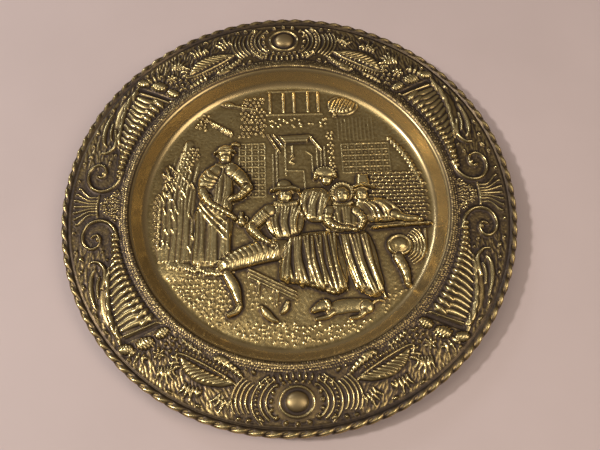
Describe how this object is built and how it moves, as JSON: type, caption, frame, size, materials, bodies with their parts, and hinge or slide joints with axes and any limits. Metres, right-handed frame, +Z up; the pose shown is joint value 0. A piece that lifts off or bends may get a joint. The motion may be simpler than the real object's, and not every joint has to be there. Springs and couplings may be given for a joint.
{
  "type": "embossed brass plate",
  "caption": "Round pressed brass plate with a sunken picture well, an ornamented flat rim, a rope-twist rolled edge over a wire and a swinging hanging ring on the back.",
  "frame": {"origin": "centre of the round foot that the plate rests on, on the surface it stands on", "axes": "+Z up, out of the plate's face; +Y towards the top of the picture, where the hanging ring is; +X towards the right of the picture"},
  "size_m": [0.36, 0.36, 0.0173],
  "materials": {
    "pressed_brass": "aged brass, polished on the raised relief and dark brown in the recesses",
    "iron_wire": "drawn iron wire, dull, hidden inside the rolled edge",
    "hanger_brass": "plain drawn brass, lightly tarnished",
    "solder": "dull grey tin solder"
  },
  "bodies": {
    "plate": {"embossed_plate": "pressed_brass", "edge_wire": "iron_wire", "hanger_strap": "hanger_brass", "strap_solder": "solder"},
    "ring": {"hanging_ring": "hanger_brass"}
  },
  "joints": [
    {"name": "ring_swing", "type": "hinge", "parent": "plate", "child": "ring", "pos_m": [0, 0.152, 0.0139], "axis": [1, 0, 0], "range_deg": [-90, 90]}
  ]
}
